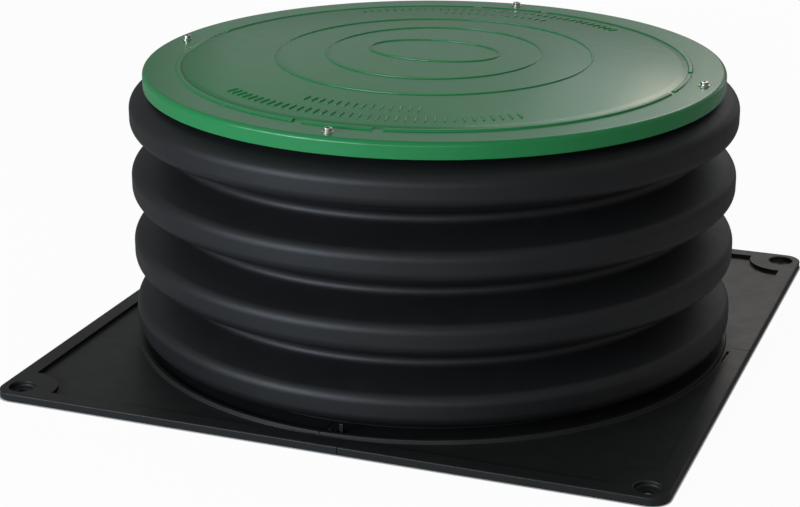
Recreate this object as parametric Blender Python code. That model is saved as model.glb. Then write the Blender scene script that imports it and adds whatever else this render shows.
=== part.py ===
"""Septic tank riser on a square base with a screwed lid.

Four moulded quadrants latch together into a square base. A length of twin-wall corrugated pipe stands on a
seal in the channel of the base. A domed lid closes the pipe, and four screws hold it to the top corrugation.
Sizes are in metres, +Z is up, and the origin is at the centre of the underside.
"""

import math

import bmesh
import bpy
from mathutils import Matrix, Vector

# Fits and gaps
SEAT_GAP = 0.0003
SEAM_GAP = 0.0004
HOLE_CLEARANCE = 0.0003
COLLAR_CLEARANCE = 0.0015
PLUG_CLEARANCE = 0.003
OVERRUN = 0.010
OVERLAP = 0.0015
MERGE_DISTANCE = 0.000001

# Facets
TURN_STEPS = 40
SMALL_TURN_STEPS = 10
HEX_SIDES = 6
ARC_STEPS = 5
SHARP_ANGLE = math.radians(38)
QUADRANTS = 4

# Base
BASE_MARGIN = 0.0285
BASE_HEIGHT = 0.009
BASE_CORNER_RADIUS = 0.021
BASE_EDGE_FILLET = 0.0015
BORDER_WIDTH = 0.0195
FLOOR_HEIGHT = 0.0045
PAD_RADIUS = 0.0395
POCKET_INSET = 0.024
POCKET_DIAMETER = 0.029
POCKET_DEPTH = 0.006
ANCHOR_HOLE_DIAMETER = 0.010

# Rib that rings the pipe channel of the base
RIB_SETBACK = 0.0006
RIB_TOP_WIDTH = 0.005
RIB_DRAFT = 0.001
RIB_EDGE = 0.0006

# Collar that stands inside the pipe
COLLAR_HEIGHT = 0.046
COLLAR_WALL = 0.004
COLLAR_LEAD_IN = 0.003

# Seams between the quadrants
SEAM_JOG = 0.032
SLOT_WIDTH = 0.003
SLOT_STANDOFF = 0.0018

# Latch under each seam
TONGUE_LENGTH = 0.030
TONGUE_WIDTH = 0.024
TONGUE_THICKNESS = 0.002
TONGUE_INSET = 0.0185
WINDOW_LENGTH = 0.010
WINDOW_WIDTH = 0.0095
TAB_OFFSET = 0.0185
TAB_LENGTH = 0.004
TAB_WIDTH = 0.0045
TAB_HEIGHT = 0.014
STUD_OFFSET = 0.0055
STUD_RADIUS = 0.002
STUD_HEIGHT = 0.0012

# Corrugated pipe
BORE_RADIUS = 0.300
LINER_WALL = 0.0022
SHELL_WALL = 0.003
CREST_DEPTH = 0.0479
CREST_PITCH = 0.0796
CREST_COUNT = 4
CREST_FLAT_WIDTH = 0.0296
CREST_FILLET = 0.0134
VALLEY_FLAT_WIDTH = 0.0102
VALLEY_FILLET = 0.0077
WAVE_FILLET_STEPS = 2
FOOT_LENGTH = 0.0344
VENT_WIDTH = 0.008
VENT_HEIGHT = 0.0018
VENT_FLOOR_WALL = 0.0016

# Seal under the pipe and gasket on top of it
SEAL_THICKNESS = 0.0012
SEAL_SPREAD = 0.0075
GASKET_THICKNESS = 0.0026
GASKET_MARGIN = 0.0005

# Lid
LID_REACH = 0.0363
LID_EDGE_THICKNESS = 0.0035
LID_RISE = 0.0158
LID_SKIRT = 0.016
LID_SKIRT_WALL = 0.004
LID_SHOULDER_WIDTH = 0.012
LID_SHOULDER_DROP = 0.0035
LID_WALL = 0.0045
LID_DOME_SHARES = (0.464, 0.684, 0.847, 0.9456)
LID_SHOULDER_STEPS = 4
LID_UNDER_STEPS = 3
PLUG_WALL = 0.004
PLUG_DEPTH = 0.024
UNDER_RIB_COUNT = 8
UNDER_RIB_WALL = 0.003
UNDER_RIB_DEPTH = 0.014
UNDER_HUB_RADIUS = 0.040

# Raised beads of the lid: centre radius, width and height
RINGS = ((0.1245, 0.003, 0.0012), (0.183, 0.003, 0.0012))
OVAL_LENGTH = 0.155
OVAL_WIDTH = 0.098
OVAL_BEAD = (0.003, 0.0012)
OVAL_STEPS = 24
RIM_BEAD_INSET = 0.0393
RIM_BEAD = (0.0075, 0.003)
RIM_BEAD_GAP = 0.0115
RIM_BEAD_BREAK = 0.045
RIM_LONG_STEPS = 6
RIM_SHORT_STEPS = 2
BEAD_TOP_SHARE = 0.45

# Lid screws
LID_SCREW_COUNT = 4
LID_SCREW_INSET = 0.0183
SCREW_FLANGE_RADIUS = 0.0065
SCREW_FLANGE_HEIGHT = 0.0011
SCREW_HEAD_RADIUS = 0.0046
SCREW_HEAD_HEIGHT = 0.005
SCREW_HEAD_CHAMFER = 0.0008
SCREW_SHANK_RADIUS = 0.0024
SCREW_LENGTH = 0.034
SCREW_POINT = 0.005
HEX_ACROSS_FLATS = 0.004
HEX_DEPTH = 0.0025
BOSS_RADIUS = 0.006
SPOT_FACE_RADIUS = 0.0073

# Screws that pin the pipe to the collar
COLLAR_SCREWS_PER_QUADRANT = 2
COLLAR_SCREW_HEIGHT = 0.032
COLLAR_SCREW_HEAD_RADIUS = 0.0045
COLLAR_SCREW_HEAD_HEIGHT = 0.0025
COLLAR_SCREW_SHANK_RADIUS = 0.0021
COLLAR_SCREW_LENGTH = 0.017

# Radii and heights that follow from the sizes above
CHAMBER_FLOOR = BORE_RADIUS + LINER_WALL
VALLEY_RADIUS = CHAMBER_FLOOR + SHELL_WALL
CREST_RADIUS = VALLEY_RADIUS + CREST_DEPTH
COLLAR_RADIUS = BORE_RADIUS - COLLAR_CLEARANCE
COLLAR_BORE = COLLAR_RADIUS - COLLAR_WALL
RIB_FOOT_RADIUS = CREST_RADIUS - RIB_SETBACK
RIB_TOP_RADIUS = RIB_FOOT_RADIUS - RIB_DRAFT
RIB_INNER_RADIUS = RIB_TOP_RADIUS - RIB_TOP_WIDTH
SLOT_RADIUS = RIB_FOOT_RADIUS + SLOT_STANDOFF
TONGUE_RADIUS = RIB_FOOT_RADIUS - TONGUE_INSET
HALF_SIDE = RIB_FOOT_RADIUS + BASE_MARGIN
BORDER_EDGE = HALF_SIDE - BORDER_WIDTH
POCKET_CENTRE = HALF_SIDE - POCKET_INSET
PIPE_FOOT = FLOOR_HEIGHT + SEAL_THICKNESS + 2 * SEAT_GAP
FIRST_CREST = PIPE_FOOT + FOOT_LENGTH
LAST_CREST = FIRST_CREST + (CREST_COUNT - 1) * CREST_PITCH
PIPE_HEAD = LAST_CREST + CREST_PITCH / 2
FLANGE_UNDERSIDE = PIPE_HEAD + GASKET_THICKNESS + 2 * SEAT_GAP
LID_EDGE = FLANGE_UNDERSIDE + LID_EDGE_THICKNESS
LID_RADIUS = BORE_RADIUS + LID_REACH
LID_SCREW_RADIUS = LID_RADIUS - LID_SCREW_INSET
RIM_BEAD_RADIUS = LID_RADIUS - RIM_BEAD_INSET
PLUG_RADIUS = BORE_RADIUS - PLUG_CLEARANCE
PLUG_BORE = PLUG_RADIUS - PLUG_WALL


def clear_scene():
    """Remove every object of the scene."""
    for obj in list(bpy.data.objects):
        bpy.data.objects.remove(obj)


def make_material(name, colour, roughness, metallic=0.0):
    """Return a Principled material; colour is linear red, green and blue."""
    material = bpy.data.materials.new(name)
    material.use_nodes = True
    shader = material.node_tree.nodes["Principled BSDF"]
    shader.inputs["Base Color"].default_value = (*colour, 1.0)
    shader.inputs["Roughness"].default_value = roughness
    shader.inputs["Metallic"].default_value = metallic
    return material


def add_object(name, mesh, material=None):
    """Link a new object to the scene and shade it smooth up to the sharp angle."""
    mesh.shade_smooth()
    mesh.set_sharp_from_angle(angle=SHARP_ANGLE)
    if material:
        mesh.materials.clear()
        mesh.materials.append(material)
    obj = bpy.data.objects.new(name, mesh)
    bpy.context.scene.collection.objects.link(obj)
    return obj


def finish_mesh(name, bm):
    """Turn a closed bmesh into a mesh whose faces point out."""
    bmesh.ops.remove_doubles(bm, verts=bm.verts, dist=MERGE_DISTANCE)
    bmesh.ops.recalc_face_normals(bm, faces=bm.faces)
    mesh = bpy.data.meshes.new(name)
    bm.to_mesh(mesh)
    bm.free()
    return mesh


def turned(name, outlines, steps=TURN_STEPS):
    """Revolve closed outlines of (radius, height) points about Z, each into a body of its own."""
    bm = bmesh.new()
    for outline in outlines:
        verts = [bm.verts.new((radius, 0.0, height)) for radius, height in outline]
        edges = [bm.edges.new(pair) for pair in zip(verts, verts[1:] + verts[:1])]
        bmesh.ops.spin(
            bm,
            geom=verts + edges,
            axis=(0.0, 0.0, 1.0),
            cent=(0.0, 0.0, 0.0),
            angle=math.tau,
            steps=steps,
            use_merge=True,
        )
    # Edges that lie on the axis sweep no face.
    bmesh.ops.remove_doubles(bm, verts=bm.verts, dist=MERGE_DISTANCE)
    loose = [edge for edge in bm.edges if not edge.link_faces]
    bmesh.ops.delete(bm, geom=loose, context="EDGES")
    return finish_mesh(name, bm)


def prisms(name, outlines, low, high):
    """Extrude closed outlines of (x, y) points between two heights, each into a body of its own."""
    bm = bmesh.new()
    for outline in outlines:
        face = bm.faces.new([bm.verts.new((x, y, low)) for x, y in outline])
        raised = bmesh.ops.extrude_face_region(bm, geom=[face], use_keep_orig=True)
        moved = [item for item in raised["geom"] if isinstance(item, bmesh.types.BMVert)]
        bmesh.ops.translate(bm, verts=moved, vec=(0.0, 0.0, high - low))
    return finish_mesh(name, bm)


def circle(radius, steps, centre=(0.0, 0.0)):
    """Return the points of a circle whose flats lie outside the radius."""
    reach = radius / math.cos(math.pi / steps)
    angles = [math.tau * (step + 0.5) / steps for step in range(steps)]
    return [(centre[0] + reach * math.cos(a), centre[1] + reach * math.sin(a)) for a in angles]


def rectangle(low, high):
    """Return the corner points of a rectangle."""
    return [(low[0], low[1]), (high[0], low[1]), (high[0], high[1]), (low[0], high[1])]


def arc(centre, radius, start, end, steps):
    """Return the points of an arc; the angles are in radians."""
    angles = [start + (end - start) * step / steps for step in range(steps + 1)]
    return [(centre[0] + radius * math.cos(a), centre[1] + radius * math.sin(a)) for a in angles]


def quarter_turned(points):
    """Turn (x, y) points by a quarter about Z."""
    return [(-y, x) for x, y in points]


def combine(target, operation, mesh):
    """Add a Boolean of the mesh to the target, and hide the mesh's own object."""
    helper = bpy.data.objects.new(mesh.name, mesh)
    bpy.context.scene.collection.objects.link(helper)
    helper.hide_render = True
    helper.display_type = "WIRE"
    modifier = target.modifiers.new(mesh.name, "BOOLEAN")
    modifier.operation = operation
    modifier.solver = "EXACT"
    modifier.object = helper
    return helper


def baked_mesh(obj, name):
    """Return a copy of the object's evaluated mesh, with its modifiers applied."""
    graph = bpy.context.evaluated_depsgraph_get()
    mesh = bpy.data.meshes.new_from_object(obj.evaluated_get(graph))
    mesh.name = name
    return mesh


def rounded_square():
    """Return the outline of the base, with its round corners."""
    centre = HALF_SIDE - BASE_CORNER_RADIUS
    points = []
    corner = arc((centre, centre), BASE_CORNER_RADIUS, 0.0, math.pi / 2, ARC_STEPS)
    for _ in range(QUADRANTS):
        points += corner
        corner = quarter_turned(corner)
    return points


def recess_outline():
    """Return the outline of the sunk field, which a round pad cuts at each corner."""
    reach = math.sqrt(PAD_RADIUS**2 - (BORDER_EDGE - POCKET_CENTRE) ** 2)
    start = math.atan2(-reach, BORDER_EDGE - POCKET_CENTRE)
    end = -1.5 * math.pi - start
    corner = arc((POCKET_CENTRE, POCKET_CENTRE), PAD_RADIUS, start, end, 2 * ARC_STEPS)
    points = []
    for _ in range(QUADRANTS):
        points += corner
        corner = quarter_turned(corner)
    return points


def base_plate():
    """Return the helper object of the whole base before the seams divide it."""
    plate = add_object("base_blank", prisms("base_blank", [rounded_square()], 0.0, BASE_HEIGHT))
    plate.hide_render = True
    plate.display_type = "WIRE"
    fillet = plate.modifiers.new("edge_fillet", "BEVEL")
    fillet.width = BASE_EDGE_FILLET
    fillet.segments = 2
    fillet.limit_method = "WEIGHT"
    weights = plate.data.attributes.new("bevel_weight_edge", "FLOAT", "EDGE")
    for edge in plate.data.edges:
        ends = [plate.data.vertices[index].co.z for index in edge.vertices]
        weights.data[edge.index].value = float(min(ends) > BASE_HEIGHT - MERGE_DISTANCE)
    combine(plate, "DIFFERENCE", prisms("recess", [recess_outline()], FLOOR_HEIGHT, BASE_HEIGHT + OVERRUN))
    # The collar covers the wall of this wider hole.
    hole_radius = COLLAR_BORE + COLLAR_WALL / 2
    hole = [(0.0, -OVERRUN), (hole_radius, -OVERRUN), (hole_radius, COLLAR_HEIGHT), (0.0, COLLAR_HEIGHT)]
    combine(plate, "DIFFERENCE", turned("hole", [hole]))
    rib = [
        (RIB_FOOT_RADIUS, FLOOR_HEIGHT - OVERLAP),
        (RIB_FOOT_RADIUS, FLOOR_HEIGHT),
        (RIB_TOP_RADIUS + RIB_EDGE, BASE_HEIGHT - RIB_EDGE),
        (RIB_TOP_RADIUS, BASE_HEIGHT),
        (RIB_INNER_RADIUS + RIB_EDGE, BASE_HEIGHT),
        (RIB_INNER_RADIUS, BASE_HEIGHT - RIB_EDGE),
        (RIB_INNER_RADIUS, FLOOR_HEIGHT - OVERLAP),
    ]
    collar = [
        (COLLAR_RADIUS, 0.0),
        (COLLAR_RADIUS, COLLAR_HEIGHT - COLLAR_LEAD_IN),
        (COLLAR_RADIUS - COLLAR_LEAD_IN / 2, COLLAR_HEIGHT),
        (COLLAR_BORE, COLLAR_HEIGHT),
        (COLLAR_BORE, 0.0),
    ]
    combine(plate, "UNION", turned("rib_and_collar", [rib, collar]))
    return plate


def seam_points(side):
    """Return the front seam's line, from inside the opening out past the edge; side is 1 or -1."""
    offset = side * SEAM_GAP / 2
    jog_radius = SLOT_RADIUS if side > 0 else SLOT_RADIUS + SLOT_WIDTH
    return [
        (offset, OVERRUN - COLLAR_BORE),
        (offset, -jog_radius),
        (SEAM_JOG + offset, -jog_radius),
        (SEAM_JOG + offset, -HALF_SIDE - OVERRUN),
    ]


def quadrant_outline():
    """Return the outline that cuts the front right quadrant out of the base."""
    outer_corner = [(HALF_SIDE + OVERRUN, -HALF_SIDE - OVERRUN)]
    right_seam = quarter_turned(seam_points(-1))
    return seam_points(1) + outer_corner + right_seam[::-1]


def quadrant_mesh():
    """Return the mesh of one base quadrant: its part of the plate, its latch, pocket and screw holes."""
    plate = base_plate()
    combine(plate, "INTERSECT", prisms("quadrant", [quadrant_outline()], -OVERRUN, COLLAR_HEIGHT + OVERRUN))
    # The front seam takes the next quadrant's tongue from below.
    far = -TONGUE_RADIUS - TONGUE_WIDTH / 2
    near = -TONGUE_RADIUS + TONGUE_WIDTH / 2
    pocket = rectangle((-OVERRUN, far - SEAT_GAP), (TONGUE_LENGTH + SEAT_GAP, near + SEAT_GAP))
    combine(plate, "DIFFERENCE", prisms("tongue_pocket", [pocket], -OVERRUN, TONGUE_THICKNESS + SEAT_GAP))
    window = rectangle(
        (TAB_OFFSET - WINDOW_LENGTH / 2, -TONGUE_RADIUS - WINDOW_WIDTH / 2),
        (TAB_OFFSET + WINDOW_LENGTH / 2, -TONGUE_RADIUS + WINDOW_WIDTH / 2),
    )
    combine(plate, "DIFFERENCE", prisms("window", [window], -OVERRUN, BASE_HEIGHT))
    # The right seam carries this quadrant's own tongue with its tab.
    tongue = quarter_turned(rectangle((-OVERRUN, far), (TONGUE_LENGTH, near)))
    combine(plate, "UNION", prisms("tongue", [tongue], 0.0, TONGUE_THICKNESS))
    tab = quarter_turned(
        rectangle(
            (TAB_OFFSET - TAB_LENGTH / 2, -TONGUE_RADIUS - TAB_WIDTH / 2),
            (TAB_OFFSET + TAB_LENGTH / 2, -TONGUE_RADIUS + TAB_WIDTH / 2),
        )
    )
    combine(plate, "UNION", prisms("tab", [tab], TONGUE_THICKNESS - OVERLAP, TAB_HEIGHT))
    stud = circle(STUD_RADIUS, SMALL_TURN_STEPS, (STUD_OFFSET, -TONGUE_RADIUS))
    combine(plate, "UNION", prisms("stud", [stud], FLOOR_HEIGHT - OVERLAP, FLOOR_HEIGHT + STUD_HEIGHT))
    place = (POCKET_CENTRE, -POCKET_CENTRE)
    well = circle(POCKET_DIAMETER / 2, 2 * SMALL_TURN_STEPS, place)
    well_floor = BASE_HEIGHT - POCKET_DEPTH
    combine(plate, "DIFFERENCE", prisms("anchor_well", [well], well_floor, BASE_HEIGHT + OVERRUN))
    anchor = circle(ANCHOR_HOLE_DIAMETER / 2, SMALL_TURN_STEPS, place)
    combine(plate, "DIFFERENCE", prisms("anchor_hole", [anchor], -OVERRUN, BASE_HEIGHT))
    combine(plate, "DIFFERENCE", collar_screw_holes(first_quadrant_only=True))
    return baked_mesh(plate, "base_quadrant")


def make_base(material):
    """Make the four base quadrants, which share one mesh."""
    mesh = quadrant_mesh()
    for index in range(QUADRANTS):
        quadrant = add_object(f"base_quadrant_{index + 1}", mesh, material)
        quadrant.rotation_euler.z = index * math.tau / QUADRANTS


def filleted(corners, fillets, steps):
    """Return the line through the corners, each inner one rounded as far as its neighbours leave room."""
    points = [corners[0]]
    for before, corner, after, fillet in zip(corners, corners[1:], corners[2:], fillets):
        corner = Vector(corner)
        ahead = corner - Vector(before)
        beyond = Vector(after) - corner
        turn = ahead.angle(beyond)
        reach = min(fillet * math.tan(turn / 2), ahead.length / 2, beyond.length / 2)
        radius = reach / math.tan(turn / 2)
        ahead.normalize()
        side = (beyond.normalized() - ahead * math.cos(turn)) / math.sin(turn)
        for step in range(steps + 1):
            angle = turn * step / steps
            along = radius * math.sin(angle) - reach
            across = radius * (1 - math.cos(angle))
            points.append(tuple(corner + along * ahead + across * side))
    return points + [corners[-1]]


def crest_corners(centre, inset=0.0):
    """Return the four corners of one corrugation's section, or of the hollow that lies inset within it."""
    foot = (CREST_PITCH - VALLEY_FLAT_WIDTH) / 2
    crest = CREST_FLAT_WIDTH / 2
    slope = math.atan2(CREST_RADIUS - VALLEY_RADIUS, foot - crest)
    narrowing = inset * math.tan(slope / 2)
    return [
        (VALLEY_RADIUS - inset, centre - foot + narrowing),
        (CREST_RADIUS - inset, centre - crest + narrowing),
        (CREST_RADIUS - inset, centre + crest - narrowing),
        (VALLEY_RADIUS - inset, centre + foot - narrowing),
    ]


def crest_height_at(radius):
    """Return how far above a crest's centre its upper shoulder has the radius."""
    (crest_radius, crest), (valley_radius, foot) = crest_corners(0.0)[2:]
    return crest + (foot - crest) * (crest_radius - radius) / (crest_radius - valley_radius)


def wave_outline():
    """Return the outer line of the pipe, cut off at its foot and in the valley over the last crest."""
    corners = [(VALLEY_RADIUS, PIPE_FOOT - CREST_PITCH)]
    for index in range(CREST_COUNT):
        corners += crest_corners(FIRST_CREST + index * CREST_PITCH)
    corners.append((VALLEY_RADIUS, PIPE_HEAD + VALLEY_FLAT_WIDTH / 2))
    fillets = [VALLEY_FILLET, CREST_FILLET, CREST_FILLET, VALLEY_FILLET] * CREST_COUNT
    line = filleted(corners, fillets, WAVE_FILLET_STEPS)
    inside = [point for point in line if PIPE_FOOT < point[1] < PIPE_HEAD - MERGE_DISTANCE]
    below = [point for point in line if point[1] <= PIPE_FOOT][-1]
    share = (PIPE_FOOT - below[1]) / (inside[0][1] - below[1])
    foot_radius = below[0] + share * (inside[0][0] - below[0])
    return [(foot_radius, PIPE_FOOT)] + inside + [(VALLEY_RADIUS, PIPE_HEAD)]


def make_pipe(material):
    """Make the twin-wall pipe: a smooth liner inside a corrugated shell, with a hollow in each crest."""
    shell = [(BORE_RADIUS, PIPE_FOOT)] + wave_outline() + [(BORE_RADIUS, PIPE_HEAD)]
    pipe = add_object("riser_pipe", turned("riser_pipe", [shell]), material)
    chambers = []
    for index in range(CREST_COUNT):
        corners = crest_corners(FIRST_CREST + index * CREST_PITCH, inset=SHELL_WALL)
        corners[0] = (CHAMBER_FLOOR, max(corners[0][1], PIPE_FOOT + LINER_WALL))
        fillet = max(CREST_FILLET - SHELL_WALL, 0.0)
        chambers.append(filleted(corners, [fillet, fillet], 1))
    combine(pipe, "DIFFERENCE", turned("chambers", chambers))
    # A flat vent along the back links the hollows of the crests and opens at both ends.
    vent_floor = BORE_RADIUS + VENT_FLOOR_WALL
    vent = rectangle((-VENT_WIDTH / 2, vent_floor), (VENT_WIDTH / 2, vent_floor + VENT_HEIGHT))
    combine(pipe, "DIFFERENCE", prisms("vent", [vent], -OVERRUN, PIPE_HEAD + OVERRUN))
    combine(pipe, "DIFFERENCE", lid_screw_holes(LAST_CREST, PIPE_HEAD))
    combine(pipe, "DIFFERENCE", collar_screw_holes())


def collar_screw_angles():
    """Return the angles of the screws round the collar, evenly apart and clear of the seams."""
    count = COLLAR_SCREWS_PER_QUADRANT * QUADRANTS
    return [math.tau * (index + 0.5) / count for index in range(count)]


def radial_matrix(angle):
    """Return the place of a collar screw, at the middle of a facet: its own +Z points out along the angle."""
    start = COLLAR_BORE * math.cos(math.pi / TURN_STEPS)
    out = Matrix.Translation((0.0, 0.0, COLLAR_SCREW_HEIGHT)) @ Matrix.Rotation(angle, 4, "Z")
    return out @ Matrix.Translation((start, 0.0, 0.0)) @ Matrix.Rotation(math.pi / 2, 4, "Y")


def collar_screw_holes(first_quadrant_only=False):
    """Return the mesh of the holes that the collar screws pass through."""
    radius = (COLLAR_SCREW_SHANK_RADIUS + HOLE_CLEARANCE) / math.cos(math.pi / SMALL_TURN_STEPS)
    depth = VALLEY_RADIUS - COLLAR_BORE
    bm = bmesh.new()
    angles = collar_screw_angles()
    if first_quadrant_only:
        angles = angles[-COLLAR_SCREWS_PER_QUADRANT:]
    for angle in angles:
        place = radial_matrix(angle) @ Matrix.Translation((0.0, 0.0, depth / 2))
        bmesh.ops.create_cone(
            bm,
            cap_ends=True,
            segments=SMALL_TURN_STEPS,
            radius1=radius,
            radius2=radius,
            depth=depth + OVERRUN,
            matrix=place,
        )
    return finish_mesh("collar_screw_holes", bm)


def make_collar_screws(material):
    """Make the pan-head screws that pin the pipe to the collar from inside."""
    head_base = -SEAT_GAP
    outline = [
        (0.0, COLLAR_SCREW_LENGTH),
        (COLLAR_SCREW_SHANK_RADIUS, COLLAR_SCREW_LENGTH - SCREW_POINT),
        (COLLAR_SCREW_SHANK_RADIUS, head_base),
        (COLLAR_SCREW_HEAD_RADIUS, head_base),
        (COLLAR_SCREW_HEAD_RADIUS, head_base - COLLAR_SCREW_HEAD_HEIGHT / 2),
        (COLLAR_SCREW_HEAD_RADIUS / 2, head_base - COLLAR_SCREW_HEAD_HEIGHT),
        (0.0, head_base - COLLAR_SCREW_HEAD_HEIGHT),
    ]
    mesh = turned("collar_screw", [outline], SMALL_TURN_STEPS)
    for index, angle in enumerate(collar_screw_angles()):
        screw = add_object(f"collar_screw_{index + 1}", mesh, material)
        screw.matrix_world = radial_matrix(angle)


def make_seals(base_material, lid_material):
    """Make the seal that the pipe stands on and the gasket between the pipe and the lid."""
    inner = BORE_RADIUS + GASKET_MARGIN / 2
    base_low = FLOOR_HEIGHT + SEAT_GAP
    base_outer = VALLEY_RADIUS + SEAL_SPREAD
    base_ring = rectangle((inner, base_low), (base_outer, base_low + SEAL_THICKNESS))
    add_object("base_seal", turned("base_seal", [base_ring]), base_material)
    lid_low = PIPE_HEAD + SEAT_GAP
    lid_outer = VALLEY_RADIUS + GASKET_MARGIN
    lid_ring = rectangle((inner, lid_low), (lid_outer, lid_low + GASKET_THICKNESS))
    add_object("lid_gasket", turned("lid_gasket", [lid_ring]), lid_material)


def dome_height(radius):
    """Return the height of the lid's top at a radius."""
    return LID_EDGE + LID_RISE * (1 - (radius / LID_RADIUS) ** 2)


def lid_outline():
    """Return the lid's section: the dome with its ring beads, the shoulder, skirt, flange and plug."""
    rises = [(0.0, 0.0)] + [(LID_RADIUS * share, 0.0) for share in LID_DOME_SHARES]
    for ring_radius, width, height in RINGS:
        rises += [(ring_radius + offset, rise) for offset, rise in bead_section(width, height)[1:-1]]
    top = [(radius, dome_height(radius) + rise) for radius, rise in sorted(rises)]
    # The dome rolls over into the skirt as a quarter of an ellipse.
    for step in range(LID_SHOULDER_STEPS + 1):
        angle = math.pi / 2 * step / LID_SHOULDER_STEPS
        radius = LID_RADIUS - LID_SHOULDER_WIDTH * (1 - math.sin(angle))
        top.append((radius, dome_height(radius) - LID_SHOULDER_DROP * (1 - math.cos(angle))))
    skirt_foot = LID_EDGE - LID_SKIRT
    skirt_bore = LID_RADIUS - LID_SKIRT_WALL
    under = [(LID_RADIUS, skirt_foot), (skirt_bore, skirt_foot), (skirt_bore, FLANGE_UNDERSIDE)]
    under += [(PLUG_RADIUS, FLANGE_UNDERSIDE), (PLUG_RADIUS, FLANGE_UNDERSIDE - PLUG_DEPTH)]
    under += [(PLUG_BORE, FLANGE_UNDERSIDE - PLUG_DEPTH)]
    for step in range(LID_UNDER_STEPS, -1, -1):
        radius = PLUG_BORE * step / LID_UNDER_STEPS
        under.append((radius, dome_height(radius) - LID_WALL))
    return top + under


def bead_section(width, height):
    """Return the section of a raised bead as (offset, rise) points, sunk a little into the lid."""
    half = width / 2
    top = half * BEAD_TOP_SHARE
    return [(-half, -OVERLAP), (-half, 0.0), (-top, height), (top, height), (half, 0.0), (half, -OVERLAP)]


def sweep_bead(bm, path, section, closed):
    """Sweep a bead's section along a path of (x, y, normal angle) points that follows the dome."""
    rings = []
    for x, y, angle in path:
        ring = []
        for offset, rise in section:
            place = (x + offset * math.cos(angle), y + offset * math.sin(angle))
            ring.append(bm.verts.new((*place, dome_height(math.hypot(*place)) + rise)))
        rings.append(ring)
    following = rings[1:] + rings[:1] if closed else rings[1:]
    for ring, after in zip(rings, following):
        for index in range(len(ring)):
            behind = (index + 1) % len(ring)
            bm.faces.new((ring[index], ring[behind], after[behind], after[index]))
    if not closed:
        bm.faces.new(rings[0][::-1])
        bm.faces.new(rings[-1])


def raised_beads():
    """Return the mesh of the oval bead and of the broken bead near the rim."""
    bm = bmesh.new()
    oval = []
    for step in range(OVAL_STEPS):
        angle = math.tau * step / OVAL_STEPS
        x = OVAL_LENGTH / 2 * math.cos(angle)
        y = OVAL_WIDTH / 2 * math.sin(angle)
        normal = math.atan2(y / OVAL_WIDTH**2, x / OVAL_LENGTH**2)
        oval.append((x, y, normal))
    sweep_bead(bm, oval, bead_section(*OVAL_BEAD), closed=True)
    break_angle = RIM_BEAD_BREAK / RIM_BEAD_RADIUS
    gap_angle = RIM_BEAD_GAP / RIM_BEAD_RADIUS
    short_arc = break_angle - gap_angle / 2
    long_start = break_angle + gap_angle / 2
    long_end = math.pi / 2 - long_start
    for index in range(LID_SCREW_COUNT):
        turn = index * math.tau / LID_SCREW_COUNT
        arcs = ((-short_arc, short_arc, RIM_SHORT_STEPS), (long_start, long_end, RIM_LONG_STEPS))
        for start, end, steps in arcs:
            angles = [turn + start + (end - start) * step / steps for step in range(steps + 1)]
            path = [(RIM_BEAD_RADIUS * math.cos(a), RIM_BEAD_RADIUS * math.sin(a), a) for a in angles]
            sweep_bead(bm, path, bead_section(*RIM_BEAD), closed=False)
    return finish_mesh("raised_beads", bm)


def lid_screw_places():
    """Return the (x, y) places of the lid screws."""
    angles = [math.tau * index / LID_SCREW_COUNT for index in range(LID_SCREW_COUNT)]
    return [(LID_SCREW_RADIUS * math.cos(a), LID_SCREW_RADIUS * math.sin(a)) for a in angles]


def lid_screw_holes(low, high):
    """Return the mesh of the holes that the lid screws pass through, between two heights."""
    radius = SCREW_SHANK_RADIUS + HOLE_CLEARANCE
    holes = [circle(radius, SMALL_TURN_STEPS, place) for place in lid_screw_places()]
    return prisms("lid_screw_holes", holes, low, high)


def spot_face_height():
    """Return the height of the flat under each screw head, just below the dome all round."""
    return dome_height(LID_SCREW_RADIUS + SPOT_FACE_RADIUS) - SEAT_GAP


def under_rib_foot():
    """Return the height of the lower edge of the ribs under the lid."""
    return dome_height(PLUG_BORE) - LID_WALL - UNDER_RIB_DEPTH


def under_ribs():
    """Return the mesh of the radial ribs under the lid, which follow the dome from the hub to the plug."""
    near = UNDER_HUB_RADIUS - UNDER_RIB_WALL / 2
    far = PLUG_BORE + PLUG_WALL / 2
    radii = [near + (far - near) * step / LID_UNDER_STEPS for step in range(LID_UNDER_STEPS + 1)]
    outline = [(near, under_rib_foot()), (far, under_rib_foot())]
    outline += [(radius, dome_height(radius) - LID_WALL / 2) for radius in reversed(radii)]
    bm = bmesh.new()
    for index in range(UNDER_RIB_COUNT):
        turn = Matrix.Rotation(math.tau * (index + 0.5) / UNDER_RIB_COUNT, 4, "Z")
        verts = [bm.verts.new((radius, -UNDER_RIB_WALL / 2, height)) for radius, height in outline]
        side = bm.faces.new(verts)
        grown = bmesh.ops.extrude_face_region(bm, geom=[side], use_keep_orig=True)
        moved = [item for item in grown["geom"] if isinstance(item, bmesh.types.BMVert)]
        bmesh.ops.translate(bm, verts=moved, vec=(0.0, UNDER_RIB_WALL, 0.0))
        bmesh.ops.transform(bm, matrix=turn, verts=verts + moved)
    return finish_mesh("under_ribs", bm)


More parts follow.
